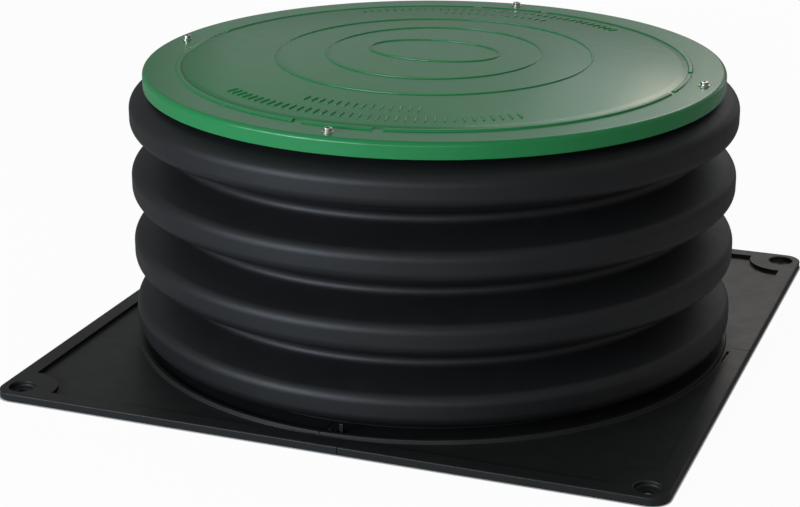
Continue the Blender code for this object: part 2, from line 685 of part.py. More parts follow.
def make_lid(material):
    """Make the lid: dome, skirt, plug, raised beads, ribs below, screw bosses and their spot faces."""
    lid = add_object("lid", turned("lid", [lid_outline()]), material)
    combine(lid, "UNION", raised_beads())
    combine(lid, "UNION", under_ribs())
    hub_head = dome_height(UNDER_HUB_RADIUS) - LID_WALL / 2
    hub_bore = UNDER_HUB_RADIUS - UNDER_RIB_WALL
    hub = rectangle((hub_bore, under_rib_foot()), (UNDER_HUB_RADIUS, hub_head))
    combine(lid, "UNION", turned("under_hub", [hub], 2 * SMALL_TURN_STEPS))
    boss_foot = LAST_CREST + crest_height_at(LID_SCREW_RADIUS - BOSS_RADIUS) + SEAT_GAP
    bosses = [circle(BOSS_RADIUS, SMALL_TURN_STEPS, place) for place in lid_screw_places()]
    combine(lid, "UNION", prisms("bosses", bosses, boss_foot, FLANGE_UNDERSIDE + OVERLAP))
    spots = [circle(SPOT_FACE_RADIUS, 2 * SMALL_TURN_STEPS, place) for place in lid_screw_places()]
    combine(lid, "DIFFERENCE", prisms("spot_faces", spots, spot_face_height(), LID_EDGE + OVERRUN))
    combine(lid, "DIFFERENCE", lid_screw_holes(LAST_CREST, LID_EDGE + OVERRUN))


def make_lid_screws(material):
    """Make the four lid screws, with a flange, a round head and a hexagon socket."""
    seat = spot_face_height() + SEAT_GAP
    outline = [
        (0.0, seat - SCREW_LENGTH),
        (SCREW_SHANK_RADIUS, seat - SCREW_LENGTH + SCREW_POINT),
        (SCREW_SHANK_RADIUS, seat),
        (SCREW_FLANGE_RADIUS, seat),
        (SCREW_FLANGE_RADIUS, seat + SCREW_FLANGE_HEIGHT),
        (SCREW_HEAD_RADIUS, seat + SCREW_FLANGE_HEIGHT),
        (SCREW_HEAD_RADIUS, seat + SCREW_HEAD_HEIGHT - SCREW_HEAD_CHAMFER),
        (SCREW_HEAD_RADIUS - SCREW_HEAD_CHAMFER, seat + SCREW_HEAD_HEIGHT),
        (0.0, seat + SCREW_HEAD_HEIGHT),
    ]
    blank = add_object("lid_screw_blank", turned("lid_screw_blank", [outline], SMALL_TURN_STEPS))
    blank.hide_render = True
    blank.display_type = "WIRE"
    socket = circle(HEX_ACROSS_FLATS / 2, HEX_SIDES)
    head_top = seat + SCREW_HEAD_HEIGHT
    combine(blank, "DIFFERENCE", prisms("hex_socket", [socket], head_top - HEX_DEPTH, head_top + OVERRUN))
    mesh = baked_mesh(blank, "lid_screw")
    for index, (x, y) in enumerate(lid_screw_places()):
        screw = add_object(f"lid_screw_{index + 1}", mesh, material)
        screw.location = (x, y, 0.0)


def main():
    """Build the riser."""
    clear_scene()
    black = make_material("black_polyethylene", (0.010, 0.011, 0.012), 0.45)
    black_base = make_material("black_base_plastic", (0.012, 0.012, 0.012), 0.5)
    green = make_material("green_lid_plastic", (0.020, 0.19, 0.060), 0.38)
    foam = make_material("grey_foam", (0.05, 0.05, 0.05), 0.9)
    rubber = make_material("black_rubber", (0.008, 0.008, 0.008), 0.8)
    steel = make_material("bright_steel", (0.6, 0.6, 0.6), 0.25, 1.0)
    make_base(black_base)
    make_pipe(black)
    make_seals(rubber, foam)
    make_lid(green)
    make_lid_screws(steel)
    make_collar_screws(steel)


if __name__ == "__main__":
    main()
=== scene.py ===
"""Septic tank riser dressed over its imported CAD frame: fine meshes, plastics, studio and camera.

Sizes are in metres in the frame of the CAD model: +Z is up and the origin is at the centre of the
underside.
"""
import logging
import math
from dataclasses import dataclass
from enum import Enum
from typing import Any, Callable, Iterable, Sequence

import bpy
from mathutils import Matrix, Vector


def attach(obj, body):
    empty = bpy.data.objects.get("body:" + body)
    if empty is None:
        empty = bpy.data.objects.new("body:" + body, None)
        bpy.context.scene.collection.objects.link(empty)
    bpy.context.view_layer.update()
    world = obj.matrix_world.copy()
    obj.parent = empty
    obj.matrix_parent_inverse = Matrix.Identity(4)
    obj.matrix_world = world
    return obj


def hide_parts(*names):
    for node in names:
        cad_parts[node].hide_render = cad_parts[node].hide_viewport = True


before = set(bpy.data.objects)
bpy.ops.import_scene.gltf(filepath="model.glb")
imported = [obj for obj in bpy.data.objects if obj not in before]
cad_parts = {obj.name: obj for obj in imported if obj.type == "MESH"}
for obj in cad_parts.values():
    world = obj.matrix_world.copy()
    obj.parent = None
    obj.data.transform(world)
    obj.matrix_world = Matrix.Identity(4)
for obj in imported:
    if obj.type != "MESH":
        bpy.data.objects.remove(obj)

LOG = logging.getLogger("riser")

Point = tuple[float, float]
Object = bpy.types.Object
Material = bpy.types.Material
Tree = bpy.types.NodeTree
Socket = bpy.types.NodeSocket

BODY = "root"
QUARTER = math.pi / 2
TURN_STEPS = 192
# Points nearer than this are one point.
MERGE_DISTANCE = 1e-6
# How far a cutter runs past the solid it cuts, and how deep a joined piece reaches into it.
OVERRUN = 0.010
OVERLAP = 0.0015
# The screws that pin the pipe to the base's collar from inside, and their clearance holes.
COLLAR_SCREWS = 8
COLLAR_SCREW_HEIGHT = 0.032
COLLAR_HOLE_RADIUS = 0.0024
COLLAR_HOLE_DEPTH = 0.024


class Slot(Enum):
    """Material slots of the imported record."""

    PIPE = "pipe_plastic"
    BASE = "base_plastic"
    LID = "lid_plastic"
    SEAL = "seal_rubber"
    GASKET = "gasket_foam"
    SCREW = "screw_steel"


class Cut(Enum):
    """How one solid is combined with another."""

    JOIN = "UNION"
    REMOVE = "DIFFERENCE"
    KEEP_COMMON = "INTERSECT"


# Outlines


def arc(centre: Point, radius: float, start: float, end: float, steps: int) -> list[Point]:
    """Lay points along an arc.

    Args:
        centre: Centre of the arc.
        radius: Radius of the arc.
        start: First angle in radians.
        end: Last angle in radians.
        steps: Number of chords.

    Returns:
        The points, both ends included.
    """
    angles = [start + (end - start) * step / steps for step in range(steps + 1)]
    return [(centre[0] + radius * math.cos(a), centre[1] + radius * math.sin(a)) for a in angles]


def circle(radius: float, steps: int, centre: Point = (0.0, 0.0)) -> list[Point]:
    """Return the points of a circle, each once."""
    return arc(centre, radius, 0.0, math.tau, steps)[:-1]


def rectangle(low: Point, high: Point) -> list[Point]:
    """Return the corners of a rectangle between two opposite corners."""
    return [(low[0], low[1]), (high[0], low[1]), (high[0], high[1]), (low[0], high[1])]


def rectangle_about(centre: Point, length: float, width: float) -> list[Point]:
    """Return the corners of a rectangle of this length along X and this width along Y."""
    x, y = centre
    return rectangle((x - length / 2, y - width / 2), (x + length / 2, y + width / 2))


def quarter_turned(points: Iterable[Point]) -> list[Point]:
    """Return the points turned by a quarter about the origin."""
    return [(-y, x) for x, y in points]


def filleted(corners: Sequence[Point], fillets: Sequence[float], steps: int) -> list[Point]:
    """Round the inner corners of a line.

    Args:
        corners: Corner points of the line.
        fillets: One radius for each corner but the first and the last.
        steps: Number of chords in each fillet.

    Returns:
        The points of the rounded line.
    """
    points = [corners[0]]
    for before, corner, after, fillet in zip(corners, corners[1:], corners[2:], fillets):
        middle = Vector(corner)
        ahead = middle - Vector(before)
        beyond = Vector(after) - middle
        turn = ahead.angle(beyond)
        reach = min(fillet * math.tan(turn / 2), ahead.length / 2, beyond.length / 2)
        radius = reach / math.tan(turn / 2)
        ahead.normalize()
        side = (beyond.normalized() - ahead * math.cos(turn)) / math.sin(turn)
        for step in range(steps + 1):
            angle = turn * step / steps
            along = radius * math.sin(angle) - reach
            across = radius * (1 - math.cos(angle))
            points.append(tuple(middle + along * ahead + across * side))
    points.append(corners[-1])
    return points


# Modelling


def clear_selection() -> None:
    """Deselect every object, the CAD nodes too."""
    if bpy.context.mode != "OBJECT":
        bpy.ops.object.mode_set(mode="OBJECT")
    bpy.ops.object.select_all(action="DESELECT")


def pick(piece: Object) -> None:
    """Make a piece the only selected and the active one."""
    clear_selection()
    piece.select_set(True)
    bpy.context.view_layer.objects.active = piece


def apply_place() -> None:
    """Apply the place, turn and scale of the selected piece to its mesh."""
    bpy.ops.object.transform_apply(location=True, rotation=True, scale=True)


def edit_all(piece: Object) -> None:
    """Open a piece in edit mode with all of its mesh selected by its points."""
    pick(piece)
    bpy.ops.object.mode_set(mode="EDIT")
    bpy.ops.mesh.select_mode(type="VERT")
    bpy.ops.mesh.select_all(action="SELECT")


def close_edit() -> None:
    """Go back to object mode."""
    bpy.ops.object.mode_set(mode="OBJECT")


def ring_on(name: str, places: Sequence[Vector]) -> Object:
    """Add a circle primitive and lay its points on a closed outline.

    Args:
        name: Name of the new piece.
        places: Places of the outline's points in order.

    Returns:
        The piece, a closed ring of edges.
    """
    clear_selection()
    bpy.ops.mesh.primitive_circle_add(vertices=len(places), radius=1.0, fill_type="NOTHING")
    ring = bpy.context.active_object
    ring.name = name
    for vertex, place in zip(ring.data.vertices, places):
        vertex.co = place
    return ring


def tidy_shell(piece: Object) -> Object:
    """Merge doubles, drop loose edges and turn the faces of a closed piece outwards."""
    edit_all(piece)
    bpy.ops.mesh.remove_doubles(threshold=MERGE_DISTANCE)
    bpy.ops.mesh.delete_loose(use_verts=True, use_edges=True, use_faces=False)
    bpy.ops.mesh.select_all(action="SELECT")
    bpy.ops.mesh.normals_make_consistent(inside=False)
    close_edit()
    return piece


def turned(name: str, section: Sequence[Point], steps: int = TURN_STEPS) -> Object:
    """Spin a closed section about Z.

    Args:
        name: Name of the new piece.
        section: Points of (radius, height), each once.
        steps: Number of steps in the full turn.

    Returns:
        The closed turned piece.
    """
    ring = ring_on(name, [Vector((radius, 0.0, height)) for radius, height in section])
    edit_all(ring)
    bpy.ops.mesh.spin(
        steps=steps, angle=math.tau, center=(0.0, 0.0, 0.0), axis=(0.0, 0.0, 1.0)
    )
    close_edit()
    return tidy_shell(ring)


def extruded(name: str, places: Sequence[Vector], way: tuple[float, float, float]) -> Object:
    """Fill a closed outline and extrude it along a way, into a closed piece."""
    ring = ring_on(name, places)
    edit_all(ring)
    bpy.ops.mesh.edge_face_add()
    bpy.ops.mesh.extrude_region_move(TRANSFORM_OT_translate={"value": way})
    close_edit()
    return tidy_shell(ring)


def prism(name: str, outline: Sequence[Point], low: float, high: float) -> Object:
    """Return a closed upright prism on an outline of (x, y), between two heights."""
    return extruded(name, [Vector((x, y, low)) for x, y in outline], (0.0, 0.0, high - low))


def joined(name: str, pieces: Sequence[Object]) -> Object:
    """Join pieces that don't touch into one.

    Args:
        name: Name of the joined piece.
        pieces: The pieces, which are used up.

    Returns:
        The joined piece.
    """
    pick(pieces[0])
    for piece in pieces[1:]:
        piece.select_set(True)
    if len(pieces) > 1:
        bpy.ops.object.join()
    pieces[0].name = name
    return pieces[0]


def posts(name: str, places: Sequence[Point], radius: float, steps: int, low: float,
          high: float) -> Object:
    """Return upright round posts as one tool.

    Args:
        name: Name of the tool.
        places: Centres of the posts.
        radius: Radius of each post.
        steps: Number of points round each post.
        low: Height of the feet.
        high: Height of the tops.

    Returns:
        The tool.
    """
    return joined(name, [prism(name, circle(radius, steps, at), low, high) for at in places])


def collar_holes(radius: float, indices: Iterable[int]) -> Object:
    """Return the level holes of some collar screws as one tool.

    Args:
        radius: Radius of the wall that they pass through.
        indices: Numbers of the screws, counted round from +X.

    Returns:
        The tool.
    """
    holes = []
    for index in indices:
        angle = math.tau * (index + 0.5) / COLLAR_SCREWS
        clear_selection()
        bpy.ops.mesh.primitive_cylinder_add(
            vertices=16,
            radius=COLLAR_HOLE_RADIUS,
            depth=COLLAR_HOLE_DEPTH,
            location=(radius * math.cos(angle), radius * math.sin(angle), COLLAR_SCREW_HEIGHT),
            rotation=(0.0, QUARTER, angle),
        )
        apply_place()
        holes.append(bpy.context.active_object)
    return joined("collar_holes", holes)


def combine(target: Object, cut: Cut, tool: Object) -> Object:
    """Combine a piece with another by an applied Boolean modifier.

    Args:
        target: The piece that is kept.
        cut: How the two are combined.
        tool: The other piece, which is used up.

    Returns:
        The target.
    """
    pick(target)
    modifier = target.modifiers.new(tool.name, "BOOLEAN")
    modifier.operation = cut.value
    modifier.solver = "EXACT"
    modifier.object = tool
    bpy.ops.object.modifier_apply(modifier=modifier.name)
    bpy.data.objects.remove(tool)
    return target


def at_top(height: float) -> Callable[[Vector, Vector], bool]:
    """Return a test for edges whose ends both lie at this height or above."""
    return lambda a, b: min(a.z, b.z) > height - MERGE_DISTANCE


def at_foot(height: float) -> Callable[[Vector, Vector], bool]:
    """Return a test for edges whose ends both lie at this height or below."""
    return lambda a, b: max(a.z, b.z) < height + MERGE_DISTANCE


def bevel_where(piece: Object, width: float, steps: int,
                chosen: Callable[[Vector, Vector], bool]) -> Object:
    """Bevel the edges that a test picks by the places of their ends.

    Args:
        piece: The piece to bevel.
        width: Width of the bevel along the faces.
        steps: Number of segments.
        chosen: Takes both ends of an edge and says whether it is bevelled.

    Returns:
        The piece.
    """
    edit_all(piece)
    bpy.ops.mesh.select_all(action="DESELECT")
    bpy.ops.mesh.select_mode(type="EDGE")
    close_edit()
    places = [vertex.co for vertex in piece.data.vertices]
    for edge in piece.data.edges:
        edge.select = chosen(*[places[index] for index in edge.vertices])
    bpy.ops.object.mode_set(mode="EDIT")
    bpy.ops.mesh.bevel(
        offset=width, offset_type="OFFSET", segments=steps, affect="EDGES", clamp_overlap=True
    )
    close_edit()
    return piece


def copied(piece: Object, name: str, turn: float) -> Object:
    """Copy a piece and turn the copy about Z.

    Args:
        piece: The piece to copy, with its materials.
        name: Name of the copy.
        turn: Angle in radians.

    Returns:
        The copy, with a mesh of its own and its turn in that mesh.
    """
    pick(piece)
    bpy.ops.object.duplicate(linked=False)
    copy = bpy.context.active_object
    copy.name = name
    copy.rotation_euler.z = turn
    apply_place()
    return copy


def moved(piece: Object, place: Point) -> Object:
    """Move a piece level to a place, which its mesh then holds, and return it."""
    pick(piece)
    piece.location = (*place, 0.0)
    apply_place()
    return piece


def smoothed(piece: Object, degrees: float) -> Object:
    """Shade a piece smooth up to an angle in degrees, led by its larger faces, and return it."""
    pick(piece)
    bpy.ops.object.shade_smooth_by_angle(angle=math.radians(degrees))
    evened = piece.modifiers.new("evened", "WEIGHTED_NORMAL")
    evened.keep_sharp = True
    bpy.ops.object.modifier_apply(modifier=evened.name)
    return piece


def dress(piece: Object, material: Material, replaced: str) -> None:
    """Give a finished piece its material and its body, and hide the CAD node that it stands for.

    Args:
        piece: The finished piece.
        material: Its material.
        replaced: Name of the CAD node that it replaces.
    """
    piece.data.materials.clear()
    piece.data.materials.append(material)
    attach(piece, BODY)
    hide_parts(replaced)
    LOG.info("%s: %d faces", piece.name, len(piece.data.polygons))


# Finishes


def linear(colour: str) -> tuple[float, float, float, float]:
    """Turn an sRGB hex colour into linear values with full alpha."""
    parts = [int(colour[index:index + 2], 16) / 255 for index in (1, 3, 5)]
    values = [p / 12.92 if p <= 0.04045 else ((p + 0.055) / 1.055) ** 2.4 for p in parts]
    return (*values, 1.0)


def add_node(tree: Tree, kind: str, settings: dict[str, Any], inputs: dict[Any, Any]) -> Any:
    """Add one node with its settings and links.

    Args:
        tree: The node tree.
        kind: Type name of the node.
        settings: Properties of the node by name.
        inputs: A value, or a socket to link, for each input by name or index.

    Returns:
        The node.
    """
    node = tree.nodes.new(kind)
    for key, value in settings.items():
        setattr(node, key, value)
    for key, value in inputs.items():
        if isinstance(value, Socket):
            tree.links.new(value, node.inputs[key])
        else:
            node.inputs[key].default_value = value
    return node


def new_material(name: str) -> tuple[Material, Tree, Any]:
    """Return a new material with its node tree and its shader."""
    material = bpy.data.materials.new(name)
    material.use_nodes = True
    return material, material.node_tree, material.node_tree.nodes["Principled BSDF"]


def per_metre(size_mm: float) -> float:
    """Return the noise scale whose blobs are about this many millimetres wide."""
    return 1000.0 / size_mm


def noise(tree: Tree, place: Socket, scale: float, detail: float, rough: float = 0.5) -> Socket:
    """Return the strength of a noise of this scale, detail and roughness."""
    inputs = {"Vector": place, "Scale": scale, "Detail": detail, "Roughness": rough}
    return add_node(tree, "ShaderNodeTexNoise", {}, inputs).outputs["Fac"]


def ranged(tree: Tree, value: Socket, source: Point, target: Point) -> Socket:
    """Carry a value from one range to another, held within it."""
    names = ("From Min", "From Max", "To Min", "To Max")
    inputs = {"Value": value, **dict(zip(names, (*source, *target)))}
    return add_node(tree, "ShaderNodeMapRange", {}, inputs).outputs["Result"]


def blended(tree: Tree, share: Socket, first: Any, second: Any) -> Socket:
    """Blend two colours, each a value or a socket, by a share."""
    inputs = {0: share, 6: first, 7: second}
    return add_node(tree, "ShaderNodeMix", {"data_type": "RGBA"}, inputs).outputs[2]


def bumped(tree: Tree, height: Socket, depth_mm: float, under: Socket | None = None) -> Socket:
    """Return the normals of a skin whose height is this many millimetres deep.

    Args:
        tree: The node tree.
        height: Height of the skin from 0 to 1.
        depth_mm: Depth in millimetres.
        under: Normals of the coarser skin under it.

    Returns:
        The normals.
    """
    inputs = {"Height": height, "Distance": depth_mm / 1000, "Strength": 1.0}
    if under:
        inputs["Normal"] = under
    return add_node(tree, "ShaderNodeBump", {}, inputs).outputs["Normal"]


@dataclass(frozen=True)
class Plastic:
    """A through-coloured moulded plastic with a fine skin grain and slow waves from cooling.

    Roughness wanders a little, as on any moulded skin, and the colour carries a faint bloom of
    rubbed spots.
    """

    name: str
    colour: str
    bloom_colour: str
    bloom_share: float
    roughness: float
    roughness_spread: float
    ior: float
    grain_mm: float
    grain_depth_mm: float
    wave_mm: tuple[float, float, float]
    wave_depth_mm: float
    bloom_mm: float = 60.0
    rub_mm: float = 22.0

    def material(self) -> Material:
        """Build the material's node tree and return the material."""
        material, tree, shader = new_material(self.name)
        place = add_node(tree, "ShaderNodeTexCoord", {}, {}).outputs["Object"]
        patches = noise(tree, place, per_metre(self.bloom_mm), 5.0, 0.62)
        share = ranged(tree, patches, (0.35, 0.75), (0.0, self.bloom_share))
        colour = blended(tree, share, linear(self.colour), linear(self.bloom_colour))
        tree.links.new(colour, shader.inputs["Base Color"])
        rubs = noise(tree, place, per_metre(self.rub_mm), 6.0, 0.7)
        low, high = self.roughness - self.roughness_spread, self.roughness + self.roughness_spread
        tree.links.new(ranged(tree, rubs, (0.3, 0.7), (low, high)), shader.inputs["Roughness"])
        shader.inputs["IOR"].default_value = self.ior
        grain = noise(tree, place, per_metre(self.grain_mm), 3.0)
        scale = tuple(per_metre(size) for size in self.wave_mm)
        stretched = add_node(tree, "ShaderNodeMapping", {}, {"Vector": place, "Scale": scale})
        wave = noise(tree, stretched.outputs["Vector"], 1.0, 1.0)
        waves = bumped(tree, wave, self.wave_depth_mm)
        skin = bumped(tree, grain, self.grain_depth_mm, waves)
        tree.links.new(skin, shader.inputs["Normal"])
        return material


@dataclass(frozen=True)
class TumbledSteel:
    """Stainless steel, cold headed and tumbled: bright, with fine marks and a little tarnish."""

    name: str = "tumbled_stainless_steel"
    colour: str = "#d9d7d2"
    tarnish: str = "#8b8781"
    tarnish_share: float = 0.7
    roughness: Point = (0.14, 0.34)
    stain_mm: float = 3.0
    mark_mm: float = 0.4
    mark_depth_mm: float = 0.03

    def material(self) -> Material:
        """Build the material's node tree and return the material."""
        material, tree, shader = new_material(self.name)
        shader.inputs["Metallic"].default_value = 1.0
        place = add_node(tree, "ShaderNodeTexCoord", {}, {}).outputs["Object"]
        stains = noise(tree, place, per_metre(self.stain_mm), 6.0)
        share = ranged(tree, stains, (0.45, 0.8), (0.0, self.tarnish_share))
        colour = blended(tree, share, linear(self.colour), linear(self.tarnish))
        tree.links.new(colour, shader.inputs["Base Color"])
        marks = noise(tree, place, per_metre(self.mark_mm), 3.0)
        roughness = ranged(tree, marks, (0.0, 1.0), self.roughness)
        tree.links.new(roughness, shader.inputs["Roughness"])
        tree.links.new(bumped(tree, marks, self.mark_depth_mm), shader.inputs["Normal"])
        return material


# Corrugated pipe: black polyethylene that is extruded and blown out against cold mould blocks.
# It is satin, with a skin that is finer than a finger can feel and slow waves along its girth.
PIPE_PLASTIC = Plastic(
    name="blow_moulded_black_polyethylene",
    colour="#17181a",
    bloom_colour="#1e1f21",
    bloom_share=0.6,
    roughness=0.50,
    roughness_spread=0.03,
    ior=1.51,
    grain_mm=1.3,
    grain_depth_mm=0.010,
    wave_mm=(90.0, 90.0, 30.0),
    wave_depth_mm=0.12,
)

# Base: black polypropylene, injection moulded against a spark-eroded mould. Its grain is finer
# than the render can show, so it is drawn about 1 mm wide.
BASE_PLASTIC = Plastic(
    name="injection_moulded_black_polypropylene",
    colour="#1f201f",
    bloom_colour="#252524",
    bloom_share=0.5,
    roughness=0.46,
    roughness_spread=0.04,
    ior=1.49,
    grain_mm=1.1,
    grain_depth_mm=0.012,
    wave_mm=(140.0, 140.0, 140.0),
    wave_depth_mm=0.10,
)

# Lid: green polyethylene, injection moulded and glossier than the base, with a fine even grain.
LID_PLASTIC = Plastic(
    name="injection_moulded_green_polyethylene",
    colour="#229350",
    bloom_colour="#2c9a58",
    bloom_share=0.4,
    roughness=0.24,
    roughness_spread=0.03,
    ior=1.53,
    grain_mm=1.4,
    grain_depth_mm=0.010,
    wave_mm=(120.0, 120.0, 120.0),
    wave_depth_mm=0.10,
)

# Seal: extruded butyl rubber, dull and slightly dusty.
SEAL_RUBBER = Plastic(
    name="extruded_butyl_rubber",
    colour="#151515",
    bloom_colour="#2a2a29",
    bloom_share=0.5,
    roughness=0.75,
    roughness_spread=0.08,
    ior=1.5,
    grain_mm=0.8,
    grain_depth_mm=0.02,
    wave_mm=(30.0, 30.0, 30.0),
    wave_depth_mm=0.05,
)

# Gasket: die-cut closed-cell foam, whose cut edge shows open cells about half a millimetre wide.
GASKET_FOAM = Plastic(
    name="die_cut_closed_cell_foam",
    colour="#3d3d3d",
    bloom_colour="#4a4a48",
    bloom_share=0.8,
    roughness=0.9,
    roughness_spread=0.05,
    ior=1.45,
    grain_mm=0.6,
    grain_depth_mm=0.08,
    wave_mm=(20.0, 20.0, 20.0),
    wave_depth_mm=0.05,
)


# Sub-assemblies


@dataclass
class CorrugatedPipe:
    """Twin-wall pipe: a smooth liner, a shell of rounded crests and a hollow in each crest."""

    bore: float = 0.300
    liner: float = 0.0022
    wall: float = 0.003
    crest_depth: float = 0.0479
    pitch: float = 0.0796
    crests: int = 4
    crest_flat: float = 0.0296
    crest_fillet: float = 0.0134
    valley_flat: float = 0.0102
    valley_fillet: float = 0.0077
    foot: float = 0.0063
    first_crest: float = 0.0407
    fillet_steps: int = 8
    vent_width: float = 0.008
    vent_height: float = 0.0018
    vent_floor: float = 0.0016
    lid_screw_hole: float = 0.0027

    @property
    def valley(self) -> float:
        """Radius of the valleys."""
        return self.bore + self.liner + self.wall

    @property
    def last_crest(self) -> float:
        """Height of the top crest's centre."""
        return self.first_crest + (self.crests - 1) * self.pitch

    @property
    def head(self) -> float:
        """Height of the pipe's upper end."""
        return self.last_crest + self.pitch / 2

    def corners(self, centre: float, inset: float = 0.0) -> list[Point]:
        """Return the four corners of a crest's section, or of the hollow inset within it.

        Args:
            centre: Height of the crest's centre.
            inset: Wall between the outer line and the hollow.

        Returns:
            The corners from the lower foot to the upper foot.
        """
        foot = (self.pitch - self.valley_flat) / 2
        crest = self.crest_flat / 2
        slope = math.atan2(self.crest_depth, foot - crest)
        narrowing = inset * math.tan(slope / 2)
        low, high = self.valley - inset, self.valley + self.crest_depth - inset
        foot -= narrowing
        crest -= narrowing
        lower = [(low, centre - foot), (high, centre - crest)]
        return lower + [(high, centre + crest), (low, centre + foot)]

    def wave(self) -> list[Point]:
        """Return the outer line from the foot to the head."""
        corners = [(self.valley, self.foot - self.pitch)]
        for index in range(self.crests):
            corners += self.corners(self.first_crest + index * self.pitch)
        corners.append((self.valley, self.head + self.valley_flat / 2))
        valley, crest = self.valley_fillet, self.crest_fillet
        line = filleted(corners, [valley, crest, crest, valley] * self.crests, self.fillet_steps)
        inside = [point for point in line if self.foot < point[1] < self.head - MERGE_DISTANCE]
        below = [point for point in line if point[1] <= self.foot][-1]
        share = (self.foot - below[1]) / (inside[0][1] - below[1])
        foot_radius = below[0] + share * (inside[0][0] - below[0])
        return [(foot_radius, self.foot)] + inside + [(self.valley, self.head)]

    def hollows(self) -> Object:
        """Return the hollows of the crests as one tool."""
        rings = []
        for index in range(self.crests):
            corners = self.corners(self.first_crest + index * self.pitch, self.wall)
            corners[0] = (corners[0][0], max(corners[0][1], self.foot + self.liner))
            fillets = [self.crest_fillet - self.wall] * 2
            rings.append(turned("hollow", filleted(corners, fillets, self.fillet_steps // 2)))
        return joined("hollows", rings)

    def build(self, screw_places: Sequence[Point]) -> None:
        """Model the pipe, with holes for the lid screws that bite into the top crest."""
        section = [(self.bore, self.foot)] + self.wave() + [(self.bore, self.head)]
        pipe = turned("corrugated_pipe", section)
        combine(pipe, Cut.REMOVE, self.hollows())
        low = self.bore + self.vent_floor
        half = self.vent_width / 2
        vent = rectangle((-half, low), (half, low + self.vent_height))
        combine(pipe, Cut.REMOVE, prism("vent", vent, -OVERRUN, self.head + OVERRUN))
        holes = posts(
            "screw_holes", screw_places, self.lid_screw_hole, 16, self.last_crest, self.head
        )
        combine(pipe, Cut.REMOVE, holes)
        combine(pipe, Cut.REMOVE, collar_holes(self.bore, range(COLLAR_SCREWS)))
        smoothed(pipe, 34.0)
        dress(pipe, PIPE_PLASTIC.material(), "riser_pipe")


@dataclass(frozen=True)
class BarRow:
    """One row of grip bars on an arc, with its turn aside and half its spread in degrees."""

    radius: float
    aside: float
    spread: float
    length: float


